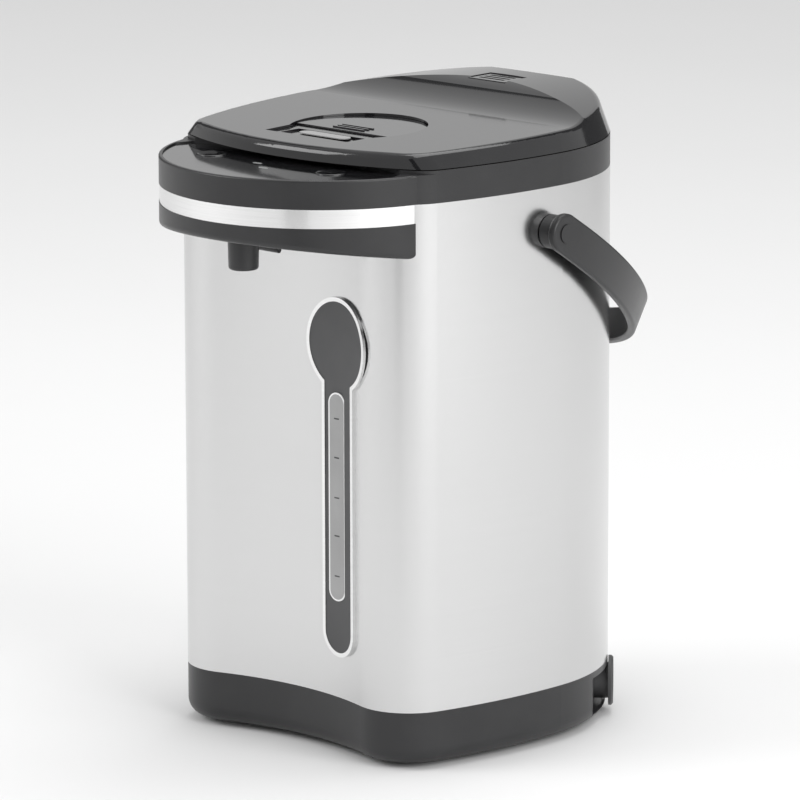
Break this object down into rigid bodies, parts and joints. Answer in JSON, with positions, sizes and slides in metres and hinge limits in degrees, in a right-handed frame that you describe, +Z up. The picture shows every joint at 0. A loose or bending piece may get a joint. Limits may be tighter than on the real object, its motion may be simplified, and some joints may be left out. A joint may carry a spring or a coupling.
{
  "type": "electric thermo pot",
  "caption": "Five litre electric thermo pot with a steel shell, black moulded top, base and swing handle, a beaked pump spout, two buttons, a water gauge and a hinged lid",
  "frame": {"origin": "On the axis of the pot's round rear wall, at the level of the table", "axes": "+X to the right seen from the front, -Y forward through the spout, +Z up"},
  "size_m": [0.2272, 0.2888, 0.34],
  "materials": {
    "black_satin": "satin moulded",
    "black_gloss": "polished moulded",
    "dark_plastic": "fine grained",
    "satin_steel": "satin brushed",
    "bright_metal": "bright",
    "alu": "cast",
    "clear": "clear moulded",
    "soft": "silicone"
  },
  "bodies": {
    "pot": {"base_shell": "black_satin", "bottom_cover": "dark_plastic", "rubber_feet": "soft", "bottom_screws": "satin_steel", "inlet_housing": "dark_plastic", "inlet_pins": "satin_steel", "steel_shell": "satin_steel", "collar": "black_satin", "trim_strip": "bright_metal", "beak_tray": "black_satin", "control_panel": "black_gloss", "indicator_windows": "clear", "panel_board": "dark_plastic", "spout": "black_satin", "lever_pin": "satin_steel", "lever_switch": "dark_plastic", "riser_tube": "clear", "spout_pipe": "soft", "hose": "soft", "liner": "satin_steel", "mouth_ring": "dark_plastic", "heater_plate": "alu", "thermostat": "satin_steel", "heat_shield": "satin_steel", "liner_outlet": "soft", "pump_housing": "dark_plastic", "pump_motor": "satin_steel", "pump_mount": "soft", "control_board": "dark_plastic", "gauge_bezel": "bright_metal", "gauge_face": "dark_plastic", "gauge_window": "clear", "hinge_bracket": "satin_steel", "hinge_pin": "satin_steel", "pivot_studs": "black_satin"},
    "lid": {"lid_cover": "black_gloss", "vent_cap": "black_gloss", "lid_underside": "dark_plastic", "lid_gasket": "soft", "bellows": "soft", "hinge_lug": "dark_plastic"},
    "press": {"press_plate": "black_gloss"},
    "latch": {"latch_flap": "black_gloss"},
    "bolt": {"latch_bolt": "dark_plastic"},
    "button_right": {"dispense_button": "black_gloss"},
    "button_left": {"reboil_button": "black_gloss"},
    "lever": {"cup_lever": "black_satin"},
    "handle": {"handle_strap": "black_satin"},
    "rotor": {"impeller": "dark_plastic"}
  },
  "joints": [
    {"name": "lid_hinge", "type": "hinge", "parent": "pot", "child": "lid", "pos_m": [0, 0.0932, 0.3168], "axis": [-1, 0, 0], "range_deg": [0, 75]},
    {"name": "press_plate_slide", "type": "slide", "parent": "lid", "child": "press", "axis": [0, 0, -1], "range_m": [0, 0.01], "stiffness_N_per_m": 600, "deforming": ["bellows"]},
    {"name": "latch_flap_hinge", "type": "hinge", "parent": "lid", "child": "latch", "pos_m": [0, -0.0614, 0.3244], "axis": [-1, 0, 0], "range_deg": [0, 25], "stiffness_Nm_per_rad": 0.15},
    {"name": "latch_bolt_slide", "type": "slide", "parent": "lid", "child": "bolt", "axis": [0, 1, 0], "range_m": [0, 0.003]},
    {"name": "dispense_button_slide", "type": "slide", "parent": "pot", "child": "button_right", "axis": [0, 0, -1], "range_m": [0, 0.001], "stiffness_N_per_m": 1500},
    {"name": "reboil_button_slide", "type": "slide", "parent": "pot", "child": "button_left", "axis": [0, 0, -1], "range_m": [0, 0.001], "stiffness_N_per_m": 1500},
    {"name": "cup_lever_hinge", "type": "hinge", "parent": "pot", "child": "lever", "pos_m": [0, -0.116, 0.2873], "axis": [1, 0, 0], "range_deg": [0, 12], "stiffness_Nm_per_rad": 0.05},
    {"name": "handle_swing", "type": "hinge", "parent": "pot", "child": "handle", "pos_m": [0, -0.0095, 0.278], "axis": [1, 0, 0], "range_deg": [0, 122]},
    {"name": "pump_spin", "type": "hinge", "parent": "pot", "child": "rotor", "pos_m": [0.0335, -0.03, 0.0395], "axis": [0, 0, 1], "continuous": true}
  ],
  "couplings": [
    {"joint": "latch_bolt_slide", "follows": "latch_flap_hinge", "m_per_rad": 0.00687}
  ]
}
